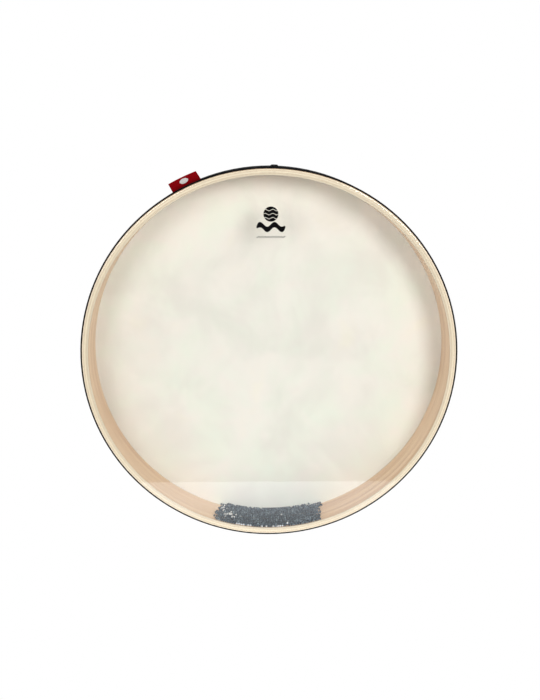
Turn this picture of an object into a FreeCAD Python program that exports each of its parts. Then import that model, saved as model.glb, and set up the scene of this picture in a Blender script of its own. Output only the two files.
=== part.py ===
import FreeCAD, Part
import math
import os
import random

os.makedirs("parts", exist_ok=True)

# An ocean drum: a shallow bent-plywood shell with a clear head in front, a skin-like head behind,
# and steel shot loose between them.
#
# Frame, in millimetres: the drum stands upright with its axis along Y and Z up. The flat rear face
# lies on y = 0 with its centre at the origin, and the clear head faces -Y.
# Angles round the rim are in degrees from +X towards +Z, so 90 is the top of the drum.

# Shell and heads
drum_radius = 200.0  # over the wrap
shell_depth = 47.6
shell_wall = 6.6
ply_count = 5
ply_seam_width = 0.15
first_seam_angle = 91.5
ply_seam_step = -1.45  # degrees from one ply's seam to the next, so that they step down through the wall
edge_round = 1.6  # on the shell's outer edges, where the heads bend over it
inner_ease = 0.5
film_thickness = 0.3
skin_thickness = 0.4
skirt_depth = 12.0  # how far each head runs down over the shell
glue_line = 0.05  # between each head and the shell
rim_sectors = 8  # faces round a head's bent rim

# Wrap: one strip round the outer wall, with its end lapped over its start
wrap_thickness = 1.4  # over the front head's skirt
wrap_ease = 0.3
lap_angle = 89.6
lap_ramp = 1.6
lap_length = 6.0
lap_thickness = 1.0
lap_gap = 0.1

# Label: a ribbon folded double, with its ends glued into a slit in the wrap
label_angle = 115.0
label_width = 32.0
label_length = 15.0  # from its root in the slit to the fold
label_lean = 47.0  # degrees forward of straight out
label_root_back = 6.0  # from the shell's front edge to the ribbon's root
ribbon_thickness = 0.45
ribbon_gap = 0.2
slit_clearance = 0.15

# Shot: two layers of steel balls in lanes that run along the rim
shot_diameter = 2.3
shot_clearance = 0.3  # to the shell and the heads
layer_gap = 0.12
lane_count = 19
shot_spacing = 2.4  # the least from ball to ball in a lane
shot_slack = 0.22  # the most that is added to it
wall_reach = {"left": (18.2, 16.5), "right": (16.9, 17.7)}  # degrees each side, front lane and rear
wall_ragged = 0.9  # degrees
wall_missing = 0.015  # share of balls left out
top_full = 11.5  # degrees each side of the bottom where the top layer is whole
top_end = 16.2  # and where it has thinned out to nothing
top_missing = 0.12
heap_seed = 8

# Worked out from the sizes above
shell_outer = drum_radius - wrap_thickness - film_thickness - glue_line
shell_inner = shell_outer - shell_wall
shell_rear = -skin_thickness - glue_line
shell_front = shell_rear - shell_depth
wrap_front = shell_front + edge_round
wrap_rear = shell_rear - edge_round
ribbon_half = ribbon_thickness + ribbon_gap / 2  # half of the folded ribbon's thickness
shot_radius = shot_diameter / 2
wall_layer = shell_inner - shot_clearance - shot_radius
top_layer = wall_layer - shot_diameter - layer_gap

origin = FreeCAD.Vector(0, 0, 0)
drum_axis = FreeCAD.Vector(0, -1, 0)  # turning about this runs from +X towards +Z


def write(node, shape):
    shape.exportStep(f"parts/{node}.step")


def rounded_outline(corners):
    """A closed face in the XY plane from (radius, y, rounding) corners, where a rounded one is square."""
    points = [FreeCAD.Vector(r, y, 0) for r, y, _ in corners]
    count = len(points)
    edges = []
    ends = []
    for i, (_, _, rounding) in enumerate(corners):
        back = (points[i - 1] - points[i]).normalize()
        ahead = (points[(i + 1) % count] - points[i]).normalize()
        middle = points[i] + (back + ahead) * rounding * (1 - math.sqrt(0.5))
        ends.append((points[i] + back * rounding, middle, points[i] + ahead * rounding))
    for i, (start, middle, end) in enumerate(ends):
        if start.distanceToPoint(ends[i - 1][2]) > 1e-6:
            edges.append(Part.LineSegment(ends[i - 1][2], start).toShape())
        if corners[i][2] > 0:
            edges.append(Part.Arc(start, middle, end).toShape())
    return Part.Face(Part.Wire(edges))


def turned(face, start=0.0, sweep=360.0):
    """The solid that a face in the XY plane sweeps about the drum's axis."""
    placed = face.copy()
    placed.rotate(origin, drum_axis, start)
    return placed.revolve(origin, drum_axis, sweep)


def rim_box(angle, width, inner, outer):
    """A box across the rim at an angle, as wide as stated along the rim, through the drum's depth."""
    depth = 2 * shell_depth
    corner = FreeCAD.Vector(inner, -1.5 * shell_depth, -width / 2)
    box = Part.makeBox(outer - inner, depth, width, corner)
    box.rotate(origin, drum_axis, angle)
    return box


def shell_envelope():
    return turned(
        rounded_outline(
            [
                (shell_inner, shell_front, inner_ease),
                (shell_inner, shell_rear, inner_ease),
                (shell_outer, shell_rear, edge_round),
                (shell_outer, shell_front, edge_round),
            ]
        )
    )


def shell_ply(envelope, number):
    """One veneer of the shell, bent into a ring whose ends meet at a fine seam."""
    thickness = shell_wall / ply_count
    inner = shell_inner + number * thickness
    outer = inner + thickness
    ring = turned(
        rounded_outline(
            [
                (inner, shell_front, 0),
                (inner, shell_rear, 0),
                (outer, shell_rear, 0),
                (outer, shell_front, 0),
            ]
        )
    )
    seam = rim_box(first_seam_angle + number * ply_seam_step, ply_seam_width, inner - 1, outer + 1)
    return ring.common(envelope).cut(seam)


def head(edge_y, outward, thickness):
    """A head stretched over one edge of the shell: a flat disc, and a rim that bends down over the outer
    wall. The rim is turned in equal sectors, so its inner and outer faces stay parallel when meshed."""
    under_y = edge_y + outward * glue_line
    face_y = under_y + outward * thickness
    skirt_y = edge_y - outward * skirt_depth
    skirt_inner = shell_outer + glue_line
    skirt_outer = skirt_inner + thickness
    bend = edge_round + glue_line
    flat_radius = skirt_inner - bend
    disc_start = FreeCAD.Vector(0, min(under_y, face_y), 0)
    disc = Part.makeCylinder(flat_radius, thickness, disc_start, FreeCAD.Vector(0, 1, 0))
    rim = rounded_outline(
        [
            (flat_radius, under_y, 0),
            (skirt_inner, under_y, bend),
            (skirt_inner, skirt_y, 0),
            (skirt_outer, skirt_y, 0),
            (skirt_outer, face_y, bend + thickness),
            (flat_radius, face_y, 0),
        ]
    )
    sweep = 360 / rim_sectors
    return disc.fuse([turned(rim, sweep * sector, sweep) for sector in range(rim_sectors)])


def wrap_section():
    """The strip's section: thinner over the two skirts, and down on the shell between them."""
    over_film = shell_outer + glue_line + film_thickness
    over_skin = shell_outer + glue_line + skin_thickness
    return rounded_outline(
        [
            (drum_radius, wrap_front, wrap_ease),
            (drum_radius, wrap_rear, wrap_ease),
            (over_skin, wrap_rear, 0),
            (over_skin, shell_rear - skirt_depth, 0),
            (shell_outer, shell_rear - skirt_depth, 0),
            (shell_outer, shell_front + skirt_depth, 0),
            (over_film, shell_front + skirt_depth, 0),
            (over_film, wrap_front, 0),
        ]
    )


def rim_point(along, height):
    """A point of the lap, from its distance along the rim past the lap angle and its height over the wrap."""
    angle = math.radians(lap_angle) - along / drum_radius
    radius = drum_radius + height
    return FreeCAD.Vector(radius * math.cos(angle), wrap_front + wrap_ease, radius * math.sin(angle))


def lap():
    """The strip's end, which climbs over its start and lies on it."""
    under = lap_gap
    over = lap_gap + lap_thickness
    corners = [
        rim_point(-1, -wrap_thickness / 2),
        rim_point(0, -wrap_thickness / 2),
        rim_point(lap_ramp, under),
        rim_point(lap_ramp + lap_length / 2, under),
        rim_point(lap_ramp + lap_length, under),
        rim_point(lap_ramp + lap_length, over),
        rim_point(lap_ramp + lap_length / 2, over),
        rim_point(lap_ramp, over),
        rim_point(0, 0),
        rim_point(-1, -wrap_thickness / 4),
    ]
    outline = Part.Face(Part.makePolygon(corners + corners[:1]))
    return outline.extrude(FreeCAD.Vector(0, wrap_rear - wrap_front - 2 * wrap_ease, 0))


def wrap():
    ramp_sweep = math.degrees(lap_ramp / drum_radius)
    strip = turned(wrap_section(), lap_angle, 360 - ramp_sweep)
    slit_path = ribbon_section(ribbon_half + slit_clearance, 0)
    slit = across_label(slit_path, label_width + 2 * slit_clearance)
    return strip.fuse(lap()).cut(slit)


def ribbon_section(outside, inside):
    """The label's section from its root to its fold. Outside and inside are half-widths, and an inside
    of 0 gives a solid strip."""
    lean = math.radians(label_lean)
    film_outer = shell_outer + glue_line + film_thickness
    root_radius = film_outer + slit_clearance + ribbon_half * math.sin(lean)
    root = FreeCAD.Vector(root_radius, shell_front + label_root_back, 0)
    forward = FreeCAD.Vector(math.cos(lean), -math.sin(lean), 0)
    across = FreeCAD.Vector(math.sin(lean), math.cos(lean), 0)
    bend = label_length - outside

    def point(along, aside):
        return root + forward * along + across * aside

    edges = [
        Part.LineSegment(point(0, outside), point(bend, outside)).toShape(),
        Part.Arc(point(bend, outside), point(bend + outside, 0), point(bend, -outside)).toShape(),
        Part.LineSegment(point(bend, -outside), point(0, -outside)).toShape(),
    ]
    if inside > 0:
        edges += [
            Part.LineSegment(point(0, -outside), point(0, -inside)).toShape(),
            Part.LineSegment(point(0, -inside), point(bend, -inside)).toShape(),
            Part.Arc(point(bend, -inside), point(bend + inside, 0), point(bend, inside)).toShape(),
            Part.LineSegment(point(bend, inside), point(0, inside)).toShape(),
        ]
    edges.append(Part.LineSegment(point(0, inside), point(0, outside)).toShape())
    if inside == 0:
        edges.append(Part.LineSegment(point(0, -outside), point(0, 0)).toShape())
    return Part.Face(Part.Wire(Part.__sortEdges__(edges)))


def across_label(section, width):
    """A section swept round the rim and cut off square at the label's width."""
    sweep = 2 * math.degrees(width / drum_radius)
    swept = turned(section, label_angle - sweep / 2, sweep)
    return swept.common(rim_box(label_angle, width, shell_inner, drum_radius + label_length))


def label():
    return across_label(ribbon_section(ribbon_half, ribbon_gap / 2), label_width)


def lane_y(lane):
    front = shell_front + shot_clearance + shot_radius
    rear = shell_rear - shot_clearance - shot_radius
    return front + (rear - front) * lane / (lane_count - 1)


def ball(radius, angle, y):
    """A ball at an angle in degrees from the bottom of the rim, towards +X."""
    a = math.radians(angle)
    return Part.makeSphere(shot_radius, FreeCAD.Vector(radius * math.sin(a), y, -radius * math.cos(a)))


def lane_angles(radius, first, last, chance):
    """The angles of the balls in one lane, unevenly spaced."""
    angle = first
    while angle <= last:
        yield angle
        angle += math.degrees((shot_spacing + shot_slack * chance.random()) / radius)


def wall_lane(lane, chance):
    """The balls of one lane that lie on the shell."""
    share = lane / (lane_count - 1)
    ends = []
    for front, rear in (wall_reach["left"], wall_reach["right"]):
        ragged = wall_ragged * (2 * chance.random() - 1)
        ends.append(front + (rear - front) * share + ragged)
    balls = []
    for angle in lane_angles(wall_layer, -ends[0], ends[1], chance):
        if chance.random() >= wall_missing:
            balls.append(ball(wall_layer, angle, lane_y(lane)))
    return balls


def top_lane(lane, chance):
    """The balls of one lane that lie on the first layer, thinning out towards both ends."""
    balls = []
    first = -top_end + chance.random()
    for angle in lane_angles(top_layer, first, top_end, chance):
        thinned = (abs(angle) - top_full) / (top_end - top_full)
        if chance.random() >= max(top_missing, thinned):
            balls.append(ball(top_layer, angle, lane_y(lane)))
    return balls


def write_shot(nodes, lane_balls, chance):
    """Deals the lanes out to the nodes in turn, and writes each node as separate balls."""
    dealt = {node: [] for node in nodes}
    for lane in range(lane_count):
        dealt[nodes[lane % len(nodes)]] += lane_balls(lane, chance)
    for node, balls in dealt.items():
        write(node, Part.makeCompound(balls))
        print(node, len(balls), "balls")


shell = shell_envelope()
for number in range(ply_count):
    write(f"shell_ply_{number + 1}", shell_ply(shell, number))
write("front_head", head(shell_front, -1, film_thickness))
write("rear_head", head(shell_rear, 1, skin_thickness))
write("wrap", wrap())
write("label", label())

chance = random.Random(heap_seed)
wall_nodes = [
    "shot_wall_centre",
    "shot_wall_left",
    "shot_wall_far_right",
    "shot_wall_right",
    "shot_wall_far_left",
]
write_shot(wall_nodes, wall_lane, chance)
write_shot(["shot_top_near", "shot_top_middle", "shot_top_far"], top_lane, chance)
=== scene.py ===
"""An ocean drum standing upright: clear head in front, skin-like head behind, steel shot at the bottom."""

import math
import random

import bpy
import numpy as np
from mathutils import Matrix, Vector


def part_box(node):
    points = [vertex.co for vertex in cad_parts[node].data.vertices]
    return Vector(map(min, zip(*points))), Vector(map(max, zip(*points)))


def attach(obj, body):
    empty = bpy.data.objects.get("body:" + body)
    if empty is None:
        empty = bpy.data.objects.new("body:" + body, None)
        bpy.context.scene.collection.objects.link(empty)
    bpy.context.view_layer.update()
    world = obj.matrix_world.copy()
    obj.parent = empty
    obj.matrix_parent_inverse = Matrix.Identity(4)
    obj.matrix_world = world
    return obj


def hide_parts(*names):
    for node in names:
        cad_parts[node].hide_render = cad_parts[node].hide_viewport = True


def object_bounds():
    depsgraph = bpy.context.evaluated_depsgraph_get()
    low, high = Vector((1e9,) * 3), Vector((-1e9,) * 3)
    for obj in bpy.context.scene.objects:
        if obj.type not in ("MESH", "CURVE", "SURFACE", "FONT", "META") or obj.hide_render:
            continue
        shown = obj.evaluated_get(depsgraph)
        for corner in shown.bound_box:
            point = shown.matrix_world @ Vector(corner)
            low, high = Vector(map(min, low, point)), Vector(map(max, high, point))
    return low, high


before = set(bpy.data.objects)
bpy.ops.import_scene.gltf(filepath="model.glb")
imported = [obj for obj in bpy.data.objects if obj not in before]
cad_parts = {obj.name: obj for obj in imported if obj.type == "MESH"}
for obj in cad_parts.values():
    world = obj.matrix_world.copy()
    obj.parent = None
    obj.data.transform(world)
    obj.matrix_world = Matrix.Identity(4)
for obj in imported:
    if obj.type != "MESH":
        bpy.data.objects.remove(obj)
cad_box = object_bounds()

# Everything is in metres, in the CAD frame: the drum's axis is Y, its rear face is at y = 0, the clear
# head faces -Y and Z is up. Angles round the rim are in degrees from +X towards +Z.
MM = 0.001
PLY_COUNT = 5
PLY_THICKNESS = 0.00132
PLY_EDGE_TONES = (0.84, 0.96, 1.0, 1.0, 1.04)  # how light each ply's edge is, from the inner wall outwards
PLAIN_EDGE = (0.905, 0.800, 0.598)
CROSSED_EDGE = (0.835, 0.700, 0.500)
SHELL_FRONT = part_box("shell_ply_1")[0].y
FILM_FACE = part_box("front_head")[0].y
FILM_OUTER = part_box("front_head")[1].x
SHELL_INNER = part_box("shell_ply_1")[1].x - PLY_THICKNESS

# Ribbon tag, as its CAD solid: a strip folded double, leaning forward out of a slit in the wrap
TAG_ANGLE = math.radians(115.0)
TAG_LEAN = math.radians(47.0)
TAG_WIDTH = 0.032
TAG_LENGTH = 0.015
TAG_THICKNESS = 0.00045
TAG_CLOTH = 0.9 * TAG_THICKNESS  # how thick the visible ribbon is
TAG_GAP = 0.0002
TAG_ROOT_BACK = 0.006
TAG_ROOT_RADIUS = FILM_OUTER + 0.00015 + 0.00055 * math.sin(TAG_LEAN)
TAG_SKEW = 0.0011  # how far the rear half shows past the front half at one side
TAG_ROWS_TAIL = 24
TAG_ROWS_FOLD = 12
TAG_COLUMNS = 48
MOTIF_HALF_WIDTH = 0.0047
MOTIF_HALF_HEIGHT = 0.0037
MOTIF_ALONG = 0.0094
MOTIF_SWELL = 0.12 * MM  # how far its middle stands out
MOTIF_LIFT = 0.02 * MM  # off the ribbon
MOTIF_THREAD = 0.1 * MM
MOTIF_RINGS = 8
MOTIF_SPOKES = 40

# Printed mark on the clear head: a disc crossed by waves, a bold wave and a thin bar
MARK_CENTRE = Vector((1.5 * MM, 0.0, 0.7952 * SHELL_INNER))
MARK_THICKNESS = 0.05 * MM
MARK_LIFT = 0.01 * MM  # off the head's face
DISC_RADIUS = 7.7 * MM
DISC_GAP = 0.55 * MM
DISC_GAP_SWING = 0.8 * MM
DISC_GAP_HEIGHTS = (-4.1 * MM, 0.0, 4.1 * MM)
DISC_COLUMNS = 72
WAVE_COLUMNS = 96
WAVE_HALF_WIDTH = 14.9 * MM
THINNEST_PRINT = 0.02 * MM

SHOT = {
    "shot_wall_centre": "shot_centre",
    "shot_wall_left": "shot_left",
    "shot_wall_far_left": "shot_far_left",
    "shot_wall_right": "shot_right",
    "shot_wall_far_right": "shot_far_right",
    "shot_top_near": "shot_near",
    "shot_top_middle": "shot_middle",
    "shot_top_far": "shot_far",
}
BALL_DETAIL = 3
BALL_SIZES = (0.94, 1.0)  # smallest and largest, as shares of the CAD ball
DULL_TONE_TOP = 0.9  # the brightest tone of a ball that isn't near-white
BRIGHT_SHARE = 0.004  # of the balls, near-white: shiny steel whose white colour is a painted glint
BRIGHT_SHARE_FRONT = 0.45  # of the lowest balls along part of the clear head
BRIGHT_FRONT_ENDS = (-0.037, 0.021)  # that part's ends in x
BRIGHT_SHARE_STREAK = 0.35  # of the balls in a slanting streak near the heap's left end
STREAK_CENTRE = (-0.0487, -0.0205)  # x and y
STREAK_SLANT = 0.28
STREAK_HALF_WIDTH = 0.0052
STREAK_HALF_LENGTH = 0.0165
SEED = 53

# Camera and studio
CAMERA_PLACE = (-0.0138, -1.0154, 0.2287)
CAMERA_YAW = 0.852  # degrees to the right of +Y
CAMERA_PITCH = -12.754
CAMERA_LENS = 48.25
BACKDROP = (1.0, 1.0, 1.0, 1.0)  # what the camera sees behind and under the drum
AMBIENT = (0.36, 0.36, 0.365)  # the room's own light
AROUND = (0.13, 0.14, 0.155)  # what glossy surfaces see above the table
TABLE_SHINE = (1.85, 2.00, 2.25)  # what glossy surfaces see of the table, away from the drum
TABLE_SHADE = 0.42  # how much of that is left near the drum's foot
TABLE_SHADE_ENDS = (-0.142, -0.080)  # where the shade starts and is full, in y
TABLE_TOP = cad_box[0].z - 0.1 * MM
TABLE_FRONT = -0.2135
TABLE_BACK = 2.5
TABLE_HALF_WIDTH = 2.0
LIGHT_DISTANCE = 1.6
WARM_WHITE = (1.0, 0.995, 0.985)
WHITE = (1.0, 1.0, 1.0)
LIGHTS = [  # name, degrees off the drum's axis, angle round the rim, size, power, colour
    ("right_light", 29.6, 37.0, 0.60, 12.3, (1.0, 0.99, 0.97)),
    ("left_light", 31.0, 147.0, 0.75, 8.3, (1.0, 0.978, 0.94)),
    ("right_side_light", 98.0, 20.0, 0.8, 8.0, WHITE),
    ("left_side_light", 98.0, 160.0, 0.8, 8.0, WHITE),
    ("back_light", 142.0, 40.0, 0.9, 6.2, WARM_WHITE),
    ("back_fill", 150.0, 160.0, 0.9, 3.8, WARM_WHITE),
]


# Node helpers


def add_node(tree, kind, inputs=(), **settings):
    """Adds a node. Each input is a value, or another node's output that gets linked to it."""
    made = tree.nodes.new(kind)
    for name, value in settings.items():
        setattr(made, name, value)
    for key, value in dict(inputs).items():
        if isinstance(value, bpy.types.NodeSocket):
            tree.links.new(value, made.inputs[key])
        else:
            made.inputs[key].default_value = value
    return made


def calc(tree, operation, *values):
    """The result of a Math node."""
    return add_node(tree, "ShaderNodeMath", enumerate(values), operation=operation).outputs[0]


def span(tree, value, low, high, to_low=0.0, to_high=1.0):
    """Maps a value smoothly from one range to another."""
    made = add_node(
        tree,
        "ShaderNodeMapRange",
        {"Value": value, "From Min": low, "From Max": high, "To Min": to_low, "To Max": to_high},
        interpolation_type="SMOOTHSTEP",
    )
    return made.outputs["Result"]


def mix(tree, factor, first, second):
    """Mixes two colours, where 6 and 7 are the colour inputs of the node and 2 its colour output."""
    made = add_node(tree, "ShaderNodeMix", {0: factor, 6: first, 7: second}, data_type="RGBA")
    return made.outputs[2]


def ramp(tree, factor, stops):
    """A colour that follows a factor through a list of (place, colour) stops."""
    made = add_node(tree, "ShaderNodeValToRGB", {"Fac": factor})
    elements = made.color_ramp.elements
    while len(elements) < len(stops):
        elements.new(0.5)
    for element, (place, colour) in zip(elements, stops):
        element.position = place
        element.color = (*colour, 1.0)
    return made.outputs["Color"]


def noise(tree, place, scale, detail=2.0, roughness=0.5, distortion=0.0):
    """Soft noise about 0.5, finer with a larger scale."""
    made = add_node(
        tree,
        "ShaderNodeTexNoise",
        {
            "Vector": place,
            "Scale": scale,
            "Detail": detail,
            "Roughness": roughness,
            "Distortion": distortion,
        },
    )
    return made.outputs["Fac"]


def bump(tree, height, distance, strength):
    """A normal that tilts with a height."""
    made = add_node(
        tree, "ShaderNodeBump", {"Height": height, "Distance": distance, "Strength": strength}
    )
    return made.outputs["Normal"]


def new_material(name, **inputs):
    """A material with one Principled shader, and its node tree."""
    material = bpy.data.materials.new(name)
    material.use_nodes = True
    tree = material.node_tree
    shader = tree.nodes["Principled BSDF"]
    for key, value in inputs.items():
        shader.inputs[key.replace("_", " ")].default_value = value
    return material, tree, shader


def place_in_frame(tree):
    """The surface point in the CAD frame, and its x, y and z."""
    place = add_node(tree, "ShaderNodeTexCoord").outputs["Object"]
    parts = add_node(tree, "ShaderNodeSeparateXYZ", {0: place}).outputs
    return place, parts["X"], parts["Y"], parts["Z"]


def radius_of(tree, x, z):
    """The distance from the drum's axis."""
    squares = calc(tree, "ADD", calc(tree, "MULTIPLY", x, x), calc(tree, "MULTIPLY", z, z))
    return calc(tree, "SQRT", squares)


def joined(tree, x, y, z):
    """A point from its three parts."""
    return add_node(tree, "ShaderNodeCombineXYZ", {0: x, 1: y, 2: z}).outputs[0]


def scaled(tree, place, size):
    """A point stretched by its own amount along each axis."""
    return add_node(
        tree, "ShaderNodeVectorMath", {0: place, 1: size}, operation="MULTIPLY"
    ).outputs[0]


# Materials


def wood(name, edge_colour, crossed):
    """A veneer: fine grain lines round the rim on its wall, and its edge in a paler, matter colour. The
    edge of a crossed veneer shows end grain."""
    material, tree, shader = new_material(
        name, Roughness=0.46, Specular_IOR_Level=0.35, Coat_Weight=0.25, Coat_Roughness=0.3
    )
    _, x, y, z = place_in_frame(tree)
    radius = radius_of(tree, x, z)
    rim_point = joined(tree, x, calc(tree, "ADD", y, radius), z)
    fine_place = scaled(tree, rim_point, (5.0, 620.0, 5.0))
    fine = noise(tree, fine_place, 1.0, detail=5.0, roughness=0.65, distortion=0.15)
    broad = noise(tree, scaled(tree, rim_point, (6.0, 120.0, 6.0)), 1.0, detail=3.0)
    pores = noise(tree, scaled(tree, rim_point, (60.0, 2600.0, 60.0)), 1.0, detail=2.0)
    wall = ramp(
        tree,
        calc(tree, "ADD", calc(tree, "MULTIPLY", fine, 0.4), calc(tree, "MULTIPLY", broad, 0.6)),
        [
            (0.38, (0.660, 0.422, 0.252)),
            (0.46, (0.757, 0.515, 0.318)),
            (0.54, (0.822, 0.588, 0.377)),
            (0.62, (0.872, 0.645, 0.430)),
        ],
    )
    pore_colour = (0.45, 0.25, 0.14, 1.0)
    wall = mix(tree, span(tree, pores, 0.60, 0.72, 0.0, 0.35), wall, pore_colour)
    dark = tuple(0.86 * part for part in edge_colour)
    edge = ramp(tree, fine, [(0.30, dark), (0.62, edge_colour)])
    if crossed:
        ends = noise(tree, scaled(tree, joined(tree, x, y, z), (900.0, 900.0, 900.0)), 1.0, detail=2.0)
        end_grain = (0.42, 0.25, 0.14, 1.0)
        edge = mix(tree, span(tree, ends, 0.45, 0.7, 0.0, 0.3), edge, end_grain)
    on_edge = span(tree, y, SHELL_FRONT + 0.2 * MM, SHELL_FRONT + 0.8 * MM, 1.0, 0.0)
    tree.links.new(mix(tree, on_edge, wall, edge), shader.inputs["Base Color"])
    wall_roughness = span(tree, fine, 0.3, 0.7, 0.56, 0.40)
    edge_extra = calc(tree, "MULTIPLY", on_edge, 0.3)
    tree.links.new(calc(tree, "ADD", wall_roughness, edge_extra), shader.inputs["Roughness"])
    height = calc(tree, "ADD", fine, calc(tree, "MULTIPLY", pores, -0.4))
    tree.links.new(bump(tree, height, 0.05 * MM, 0.5), shader.inputs["Normal"])
    return material


def skin():
    """The rear head: off-white with faint clouds of green, pink and grey, and a fine fibrous face."""
    material, tree, shader = new_material("skin_head", Roughness=0.5, Specular_IOR_Level=0.3)
    place, _, _, _ = place_in_frame(tree)
    tint = noise(tree, place, 19.0, detail=4.0, roughness=0.6, distortion=0.35)
    clouds = noise(tree, place, 11.0, detail=5.0, roughness=0.62, distortion=0.4)
    colour = ramp(
        tree,
        tint,
        [
            (0.30, (0.848, 0.908, 0.800)),
            (0.42, (0.868, 0.899, 0.795)),
            (0.50, (0.886, 0.892, 0.806)),
            (0.60, (0.906, 0.882, 0.810)),
            (0.74, (0.918, 0.897, 0.778)),
        ],
    )
    shade = span(tree, clouds, 0.34, 0.62, 0.55, 0.0)
    cloud_colour = (0.745, 0.725, 0.665, 1.0)
    colour = mix(tree, shade, colour, cloud_colour)
    fibres = noise(tree, scaled(tree, place, (1.0, 1.0, 0.25)), 900.0, detail=3.0, roughness=0.7)
    fibre_colour = (0.62, 0.57, 0.47, 1.0)
    colour = mix(tree, span(tree, fibres, 0.35, 0.75, 0.0, 0.10), colour, fibre_colour)
    tree.links.new(colour, shader.inputs["Base Color"])
    tree.links.new(span(tree, clouds, 0.3, 0.7, 0.58, 0.44), shader.inputs["Roughness"])
    grain = calc(tree, "ADD", calc(tree, "MULTIPLY", fibres, 0.3), clouds)
    tree.links.new(bump(tree, grain, 0.08 * MM, 0.35), shader.inputs["Normal"])
    return material


def film():
    """The clear head. Most light goes straight through, and what is left is a reflection: a mirror's on
    the stretched face, a blurred one where the film bends down over the shell."""
    material, tree, shader = new_material(
        "clear_film", Base_Color=(0.96, 0.97, 0.97, 1.0), Metallic=1.0, Alpha=0.055
    )
    _, _, y, _ = place_in_frame(tree)
    rough = span(tree, y, FILM_FACE + 0.02 * MM, FILM_FACE + 0.2 * MM, 0.03, 0.6)
    tree.links.new(rough, shader.inputs["Roughness"])
    return material


def wrap_black():
    """Matte black tape with a fine pebbled face."""
    material, tree, shader = new_material("black_wrap", Roughness=0.7, Specular_IOR_Level=0.1)
    place, _, _, _ = place_in_frame(tree)
    cells = add_node(
        tree,
        "ShaderNodeTexVoronoi",
        {"Vector": place, "Scale": 1500.0},
        feature="SMOOTH_F1",
    ).outputs["Distance"]
    patches = noise(tree, place, 45.0, detail=4.0, roughness=0.6)
    colour = ramp(tree, patches, [(0.35, (0.0020, 0.0020, 0.0022)), (0.70, (0.0055, 0.0055, 0.0060))])
    tree.links.new(colour, shader.inputs["Base Color"])
    tree.links.new(span(tree, patches, 0.3, 0.7, 0.78, 0.60), shader.inputs["Roughness"])
    tree.links.new(bump(tree, cells, 0.12 * MM, 0.6), shader.inputs["Normal"])
    return material


def woven(name, thread, shadow, along=2200.0, across=1500.0, sheen=0.02):
    """Woven ribbon. The UV map is in metres, with u across the ribbon and v along it."""
    material, tree, shader = new_material(
        name, Roughness=0.85, Sheen_Weight=sheen, Sheen_Roughness=0.4, Specular_IOR_Level=0.03
    )
    flat = add_node(tree, "ShaderNodeUVMap", uv_map="weave").outputs["UV"]
    parts = add_node(tree, "ShaderNodeSeparateXYZ", {0: flat}).outputs
    warp = calc(tree, "SINE", calc(tree, "MULTIPLY", parts["X"], 2 * math.pi * across))
    weft = calc(tree, "SINE", calc(tree, "MULTIPLY", parts["Y"], 2 * math.pi * along))
    weave = calc(tree, "MULTIPLY", warp, weft)
    wear = noise(tree, flat, 260.0, detail=3.0)
    height = calc(tree, "ADD", weave, calc(tree, "MULTIPLY", weft, 0.6))
    # Painted shade: the low parts of the weave take the darker shadow colour, the high parts the thread
    # colour.
    lit = span(tree, height, -1.2, 1.2)
    colour = mix(tree, lit, (*shadow, 1.0), (*thread, 1.0))
    colour = mix(tree, span(tree, wear, 0.4, 0.8, 0.0, 0.25), colour, (*shadow, 1.0))
    tree.links.new(colour, shader.inputs["Base Color"])
    tree.links.new(bump(tree, height, 0.04 * MM, 0.7), shader.inputs["Normal"])
    return material


def steel():
    """Blued steel shot: each ball has its own tone, dark on most and near-white on a few, and rubbed
    patches. The near-white balls are shiny steel whose white colour is a painted glint."""
    material, tree, shader = new_material("steel_shot", Metallic=0.9, Roughness=0.3)
    place, _, _, _ = place_in_frame(tree)
    own = add_node(tree, "ShaderNodeAttribute", attribute_name="ball_tone").outputs["Fac"]
    rubbed = noise(tree, place, 2200.0, detail=2.0)
    colour = ramp(
        tree,
        own,
        [
            (0.0, (0.006, 0.012, 0.019)),
            (0.6, (0.062, 0.094, 0.118)),
            (0.9, (0.240, 0.305, 0.345)),
            # Near-white stop: painted glints on shiny steel
            (1.0, (0.980, 0.985, 0.985)),
        ],
    )
    rubbed_colour = (0.31, 0.38, 0.42, 1.0)
    colour = mix(tree, span(tree, rubbed, 0.5, 0.75, 0.0, 0.24), colour, rubbed_colour)
    tree.links.new(colour, shader.inputs["Base Color"])
    tree.links.new(span(tree, rubbed, 0.4, 0.75, 0.42, 0.24), shader.inputs["Roughness"])
    return material


def ink():
    """Black printing ink, a little uneven."""
    material, tree, shader = new_material("mark_ink", Roughness=0.5, Specular_IOR_Level=0.04)
    place, _, _, _ = place_in_frame(tree)
    spread = noise(tree, place, 700.0, detail=2.0)
    colour = ramp(tree, spread, [(0.35, (0.0015, 0.0015, 0.002)), (0.7, (0.004, 0.004, 0.005))])
    tree.links.new(colour, shader.inputs["Base Color"])
    tree.links.new(span(tree, spread, 0.3, 0.7, 0.56, 0.44), shader.inputs["Roughness"])
    return material


def ink_grey():
    """Grey printing ink, a little uneven."""
    material, tree, shader = new_material("mark_ink_grey", Roughness=0.45, Specular_IOR_Level=0.4)
    place, _, _, _ = place_in_frame(tree)
    spread = noise(tree, place, 700.0, detail=2.0)
    colour = ramp(tree, spread, [(0.35, (0.17, 0.17, 0.155)), (0.7, (0.24, 0.24, 0.22))])
    tree.links.new(colour, shader.inputs["Base Color"])
    return material


# Geometry


def new_piece(name, points, faces, material, body, smooth=True):
    """A mesh piece that rides on a body and takes its finish from a material slot."""
    mesh = bpy.data.meshes.new(name)
    mesh.from_pydata(points, [], faces)
    mesh.materials.append(material)
    mesh.polygons.foreach_set("use_smooth", [smooth] * len(mesh.polygons))
    mesh.update()
    piece = bpy.data.objects.new(name, mesh)
    bpy.context.scene.collection.objects.link(piece)
    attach(piece, body)
    return piece


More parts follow.
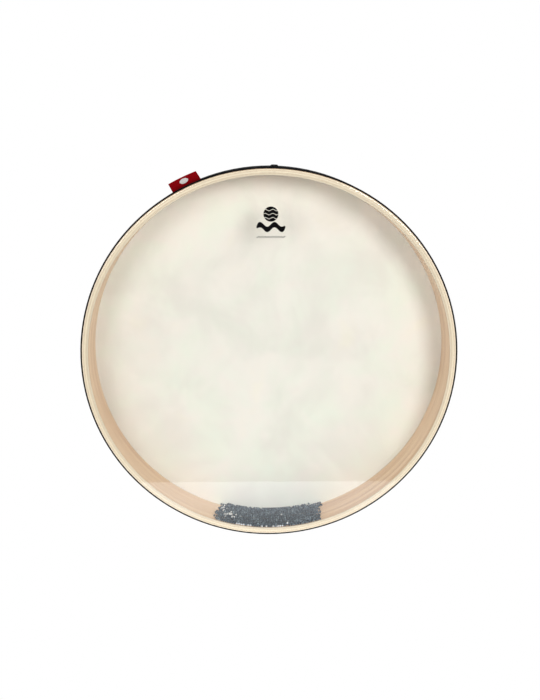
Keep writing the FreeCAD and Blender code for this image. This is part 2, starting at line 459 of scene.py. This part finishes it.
def ball_centres(node):
    """The centre and radius of every ball in a CAD shot node, each ball being one joined-up part."""
    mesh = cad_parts[node].data
    points = np.empty((len(mesh.vertices), 3), np.float32)
    mesh.vertices.foreach_get("co", points.ravel())
    edges = np.empty((len(mesh.edges), 2), np.int32)
    mesh.edges.foreach_get("vertices", edges.ravel())
    part = np.arange(len(points))
    settled = False
    while not settled:
        lowest = np.minimum(part[edges[:, 0]], part[edges[:, 1]])
        spread = part.copy()
        np.minimum.at(spread, edges[:, 0], lowest)
        np.minimum.at(spread, edges[:, 1], lowest)
        spread = spread[spread]
        settled = bool((spread == part).all())
        part = spread
    starts = np.unique(part, return_index=True)[1]
    low = np.minimum.reduceat(points, starts)
    high = np.maximum.reduceat(points, starts)
    return (low + high) / 2, (high - low).max() / 2


def unit_ball():
    """Points and triangles of a ball of radius 1."""
    bpy.ops.mesh.primitive_ico_sphere_add(subdivisions=BALL_DETAIL, radius=1.0)
    ball = bpy.context.object
    points = np.array([v.co for v in ball.data.vertices])
    faces = np.array([list(p.vertices) for p in ball.data.polygons])
    bpy.data.objects.remove(ball)
    return points, faces


def ball_tone(centre, radius, chance):
    """How bright a ball is, from 0 to 1. Near-white ones, whose colour is a painted glint, are commonest
    low down against the clear head, and in a streak near the left end."""
    from_head = centre[1] - SHELL_FRONT
    from_shell = SHELL_INNER - math.hypot(centre[0], centre[2])
    along_streak = centre[1] - STREAK_CENTRE[1]
    from_streak = centre[0] - STREAK_CENTRE[0] + STREAK_SLANT * along_streak
    bright = BRIGHT_SHARE
    in_front = max(from_head, from_shell) < 2 * radius
    if in_front and BRIGHT_FRONT_ENDS[0] < centre[0] < BRIGHT_FRONT_ENDS[1]:
        bright = BRIGHT_SHARE_FRONT
    elif abs(from_streak) < STREAK_HALF_WIDTH and abs(along_streak) < STREAK_HALF_LENGTH:
        bright = BRIGHT_SHARE_STREAK
    tone = DULL_TONE_TOP * chance.random()
    # A bright ball gets the near-white tone, a painted glint.
    return 1.0 if chance.random() < bright else tone


def shot_piece(node, body, ball, material, chance):
    """Separate steel balls in the places of one CAD node's balls, each with its own size and tone."""
    centres, radius = ball_centres(node)
    points, faces = ball
    sizes = radius * np.array([chance.uniform(*BALL_SIZES) for _ in centres])
    tones = [ball_tone(centre, radius, chance) for centre in centres]
    all_points = (centres[:, None, :] + sizes[:, None, None] * points[None]).reshape(-1, 3)
    all_faces = (faces[None] + len(points) * np.arange(len(centres))[:, None, None]).reshape(-1, 3)
    name = node.replace("shot_", "balls_")
    piece = new_piece(name, all_points.tolist(), all_faces.tolist(), material, body)
    tone = piece.data.attributes.new("ball_tone", "FLOAT", "POINT")
    tone.data.foreach_set("value", np.repeat(tones, len(points)))
    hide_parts(node)


def tag_point(along, aside, across):
    """A point of the ribbon tag, from its distance from the root, its place through the fold and its
    place across the ribbon, positive towards the top of the drum."""
    radius = TAG_ROOT_RADIUS + along * math.cos(TAG_LEAN) + aside * math.sin(TAG_LEAN)
    y = SHELL_FRONT + TAG_ROOT_BACK - along * math.sin(TAG_LEAN) + aside * math.cos(TAG_LEAN)
    outward = Vector((math.cos(TAG_ANGLE), 0.0, math.sin(TAG_ANGLE)))
    sideways = Vector((math.sin(TAG_ANGLE), 0.0, -math.cos(TAG_ANGLE)))
    rise = math.sqrt(radius * radius - across * across)
    return outward * rise + sideways * across + Vector((0.0, y, 0.0))


def tag_path():
    """(along, aside) for the middle of the strip; tag_mesh works out each point's share of the way from
    the front tail to the rear one.
    """
    half = (TAG_THICKNESS + TAG_GAP) / 2
    bend = TAG_LENGTH - TAG_THICKNESS / 2 - half
    path = [(bend * i / TAG_ROWS_TAIL, -half) for i in range(TAG_ROWS_TAIL)]
    for i in range(TAG_ROWS_FOLD + 1):
        turn = math.pi * i / TAG_ROWS_FOLD - math.pi / 2
        path.append((bend + half * math.cos(turn), half * math.sin(turn)))
    path += [(bend * (1 - i / TAG_ROWS_TAIL), half) for i in range(1, TAG_ROWS_TAIL + 1)]
    return path


def tag_mesh():
    """The folded ribbon as one strip of thin cloth, a sheet that ribbon_tag thickens, and its length
    unfolded.
    """
    path = tag_path()
    lengths = [0.0]
    for (a0, b0), (a1, b1) in zip(path, path[1:]):
        lengths.append(lengths[-1] + math.hypot(a1 - a0, b1 - b0))
    points = []
    uvs = []
    for (along, aside), run in zip(path, lengths):
        rear = run / lengths[-1]
        for column in range(TAG_COLUMNS + 1):
            share = column / TAG_COLUMNS
            across = (share - 0.5) * (TAG_WIDTH - TAG_SKEW) + (rear - 0.5) * TAG_SKEW
            points.append(tag_point(along, aside, across))
            uvs.append((share * TAG_WIDTH, run))
    faces = []
    for row in range(len(path) - 1):
        for column in range(TAG_COLUMNS):
            first = row * (TAG_COLUMNS + 1) + column
            second = first + TAG_COLUMNS + 1
            faces.append((first, first + 1, second + 1, second))
    return points, faces, uvs, lengths[-1]


def give_uvs(piece, uvs):
    """A UV map from one place for each point of the mesh."""
    layer = piece.data.uv_layers.new(name="weave")
    for loop in piece.data.loops:
        layer.data[loop.index].uv = uvs[loop.vertex_index]


def thicken(piece, thickness):
    """Gives a sheet a thickness, half on each side."""
    solid = piece.modifiers.new("thickness", "SOLIDIFY")
    solid.thickness = thickness
    solid.offset = 0.0


def ribbon_tag(material):
    """The tag as a piece, with the length of its strip. It is a little thinner than its CAD solid."""
    points, faces, uvs, length = tag_mesh()
    piece = new_piece("ribbon_tag", points, faces, material, "drum")
    give_uvs(piece, uvs)
    thicken(piece, TAG_CLOTH)
    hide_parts("label")
    return piece, length


def ribbon_motif(material):
    """A plain embroidered oval on the tag's front."""
    front = -(TAG_THICKNESS + TAG_GAP / 2) - MOTIF_LIFT
    points = [tag_point(MOTIF_ALONG, front - MOTIF_SWELL, 0.0)]
    uvs = [(0.0, 0.0)]
    for ring in range(1, MOTIF_RINGS + 1):
        share = ring / MOTIF_RINGS
        swell = MOTIF_SWELL * (1 - share**4)
        for spoke in range(MOTIF_SPOKES):
            turn = 2 * math.pi * spoke / MOTIF_SPOKES
            along = MOTIF_HALF_HEIGHT * share * math.sin(turn)
            across = MOTIF_HALF_WIDTH * share * math.cos(turn)
            points.append(tag_point(MOTIF_ALONG + along, front - swell, across))
            uvs.append((across, along))
    faces = [(0, 1 + (s + 1) % MOTIF_SPOKES, 1 + s) for s in range(MOTIF_SPOKES)]
    for ring in range(MOTIF_RINGS - 1):
        inner = 1 + ring * MOTIF_SPOKES
        outer = inner + MOTIF_SPOKES
        for s in range(MOTIF_SPOKES):
            t = (s + 1) % MOTIF_SPOKES
            faces.append((inner + s, inner + t, outer + t, outer + s))
    piece = new_piece("ribbon_motif", points, faces, material, "drum")
    give_uvs(piece, uvs)
    thicken(piece, MOTIF_THREAD)
    return piece


def printed(name, strips, material):
    """Flat printing on the clear head. A strip is a list of (x, low z, high z) from left to right."""
    back = FILM_FACE - MARK_LIFT
    points = []
    faces = []
    for strip in strips:
        start = len(points)
        for x, low, high in strip:
            for height in (low, high):
                for y in (back, back - MARK_THICKNESS):
                    points.append(MARK_CENTRE + Vector((x, y, height)))
        end = len(points) - 4
        for a in range(start, end, 4):
            b = a + 4
            faces.append((a, a + 2, b + 2, b))
            faces.append((a + 1, b + 1, b + 3, a + 3))
            faces.append((a, b, b + 1, a + 1))
            faces.append((a + 2, a + 3, b + 3, b + 2))
        faces.append((start, start + 1, start + 3, start + 2))
        faces.append((end, end + 2, end + 3, end + 1))
    new_piece(name, points, faces, material, "drum", smooth=False)


def wave_disc():
    """A disc parted by three wavy gaps, as strips."""
    shares = [i / DISC_COLUMNS for i in range(DISC_COLUMNS + 1)]
    columns = [DISC_RADIUS * math.cos(math.pi * (1 - share)) for share in shares]
    strips = []
    for lower, upper in zip([None, *DISC_GAP_HEIGHTS], [*DISC_GAP_HEIGHTS, None]):
        strip = []
        for x in columns:
            reach = math.sqrt(max(0.0, DISC_RADIUS**2 - x * x))
            wave = DISC_GAP_SWING * math.sin(2 * math.pi * x / DISC_RADIUS)
            low = -reach if lower is None else max(-reach, lower + wave + DISC_GAP / 2)
            high = reach if upper is None else min(reach, upper + wave - DISC_GAP / 2)
            if high - low > THINNEST_PRINT:
                strip.append((x, low, high))
        strips.append(strip)
    return strips


def long_wave(drop, half_height, swing, waves):
    """One wavy stroke with round ends, so far below the mark's centre, as a strip."""
    strip = []
    for i in range(WAVE_COLUMNS + 1):
        x = WAVE_HALF_WIDTH * math.cos(math.pi * (1 - i / WAVE_COLUMNS))
        inside = WAVE_HALF_WIDTH - abs(x)
        end = math.sqrt(max(0.0, 1 - max(0.0, 1 - inside / half_height) ** 2))
        middle = -drop + swing * math.sin(2 * math.pi * waves * x / (2 * WAVE_HALF_WIDTH))
        reach = half_height * end + THINNEST_PRINT / 2
        strip.append((x, middle - reach, middle + reach))
    return strip


def printed_mark(black, grey):
    """The whole generic mark, from the top down."""
    printed("mark_disc", wave_disc(), black)
    printed("mark_wave", [long_wave(drop=13.2 * MM, half_height=2.8 * MM, swing=2.4 * MM, waves=2)], black)
    printed("mark_bar", [long_wave(drop=23.4 * MM, half_height=0.55 * MM, swing=0.7 * MM, waves=9)], grey)


def set_material(node, material):
    """Gives a CAD node a better material."""
    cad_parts[node].data.materials[0] = material


# Studio


def camera():
    """A camera a little above the drum's top, looking down at it."""
    data = bpy.data.cameras.new("camera")
    data.lens = CAMERA_LENS
    data.sensor_width = 36.0
    data.clip_start = 0.01
    data.clip_end = 50.0
    eye = bpy.data.objects.new("camera", data)
    bpy.context.scene.collection.objects.link(eye)
    eye.location = CAMERA_PLACE
    eye.rotation_euler = (math.radians(90.0 + CAMERA_PITCH), 0.0, math.radians(-CAMERA_YAW))
    bpy.context.scene.camera = eye


def table():
    """A pale table whose front edge stands in front of the drum, so that the clear head mirrors it. It
    has one brightness for the camera and another, shaded near the drum, for reflections."""
    material = bpy.data.materials.new("table")
    material.use_nodes = True
    tree = material.node_tree
    tree.nodes.clear()
    rays = add_node(tree, "ShaderNodeLightPath").outputs
    _, _, y, _ = place_in_frame(tree)
    lit = span(tree, y, *TABLE_SHADE_ENDS, 1.0, TABLE_SHADE)
    shine = mix(tree, lit, (0.0, 0.0, 0.0, 1.0), (*TABLE_SHINE, 1.0))
    colour = mix(tree, rays["Is Glossy Ray"], BACKDROP, shine)
    glow = add_node(tree, "ShaderNodeEmission", {"Color": colour, "Strength": 1.0})
    out = add_node(tree, "ShaderNodeOutputMaterial")
    tree.links.new(glow.outputs[0], out.inputs[0])
    mesh = bpy.data.meshes.new("table")
    corners = [
        (-TABLE_HALF_WIDTH, TABLE_FRONT, TABLE_TOP),
        (TABLE_HALF_WIDTH, TABLE_FRONT, TABLE_TOP),
        (TABLE_HALF_WIDTH, TABLE_BACK, TABLE_TOP),
        (-TABLE_HALF_WIDTH, TABLE_BACK, TABLE_TOP),
    ]
    mesh.from_pydata(corners, [], [(0, 1, 2, 3)])
    mesh.materials.append(material)
    floor = bpy.data.objects.new("table", mesh)
    bpy.context.scene.collection.objects.link(floor)


def surroundings():
    """A white backdrop for the camera, a grey room that lights the drum, and a darker one for what the
    drum reflects."""
    world = bpy.data.worlds.new("studio")
    world.use_nodes = True
    bpy.context.scene.world = world
    tree = world.node_tree
    tree.nodes.clear()
    rays = add_node(tree, "ShaderNodeLightPath").outputs
    light = mix(tree, rays["Is Glossy Ray"], (*AMBIENT, 1.0), (*AROUND, 1.0))
    colour = mix(tree, rays["Is Camera Ray"], light, BACKDROP)
    background = add_node(tree, "ShaderNodeBackground", {"Color": colour, "Strength": 1.0})
    out = add_node(tree, "ShaderNodeOutputWorld")
    tree.links.new(background.outputs[0], out.inputs[0])


def soft_light(name, off_axis, towards, size, power, colour):
    """A round light aimed at the drum, so many degrees off its axis from the front, on the side of an
    angle round the rim."""
    aside = LIGHT_DISTANCE * math.sin(math.radians(off_axis))
    turn = math.radians(towards)
    ahead = -LIGHT_DISTANCE * math.cos(math.radians(off_axis))
    place = Vector((aside * math.cos(turn), ahead, aside * math.sin(turn)))
    data = bpy.data.lights.new(name, "AREA")
    data.shape = "DISK"
    data.size = size
    data.energy = power
    data.color = colour
    lamp = bpy.data.objects.new(name, data)
    lamp.visible_camera = False
    bpy.context.scene.collection.objects.link(lamp)
    lamp.location = place
    lamp.rotation_euler = (-place).to_track_quat("-Z", "Y").to_euler()


chance = random.Random(SEED)

for number in range(1, PLY_COUNT + 1):
    crossed = number % 2 == 0
    veneer = CROSSED_EDGE if crossed else PLAIN_EDGE
    edge_colour = tuple(PLY_EDGE_TONES[number - 1] * part for part in veneer)
    set_material(f"shell_ply_{number}", wood(f"wood_{number}", edge_colour, crossed))
set_material("rear_head", skin())
set_material("front_head", film())
set_material("wrap", wrap_black())

ball = unit_ball()
shot_steel = steel()
for node, body in SHOT.items():
    shot_piece(node, body, ball, shot_steel, chance)

tag, tag_run = ribbon_tag(woven("red_ribbon", (0.28, 0.0005, 0.004), (0.19, 0.0003, 0.003)))
motif = ribbon_motif(woven("motif_thread", (0.80, 0.77, 0.77), (0.58, 0.56, 0.56), 3000.0, 900.0))
printed_mark(ink(), ink_grey())

camera()
table()
surroundings()
for light in LIGHTS:
    soft_light(*light)
bpy.context.scene.view_settings.view_transform = "Standard"
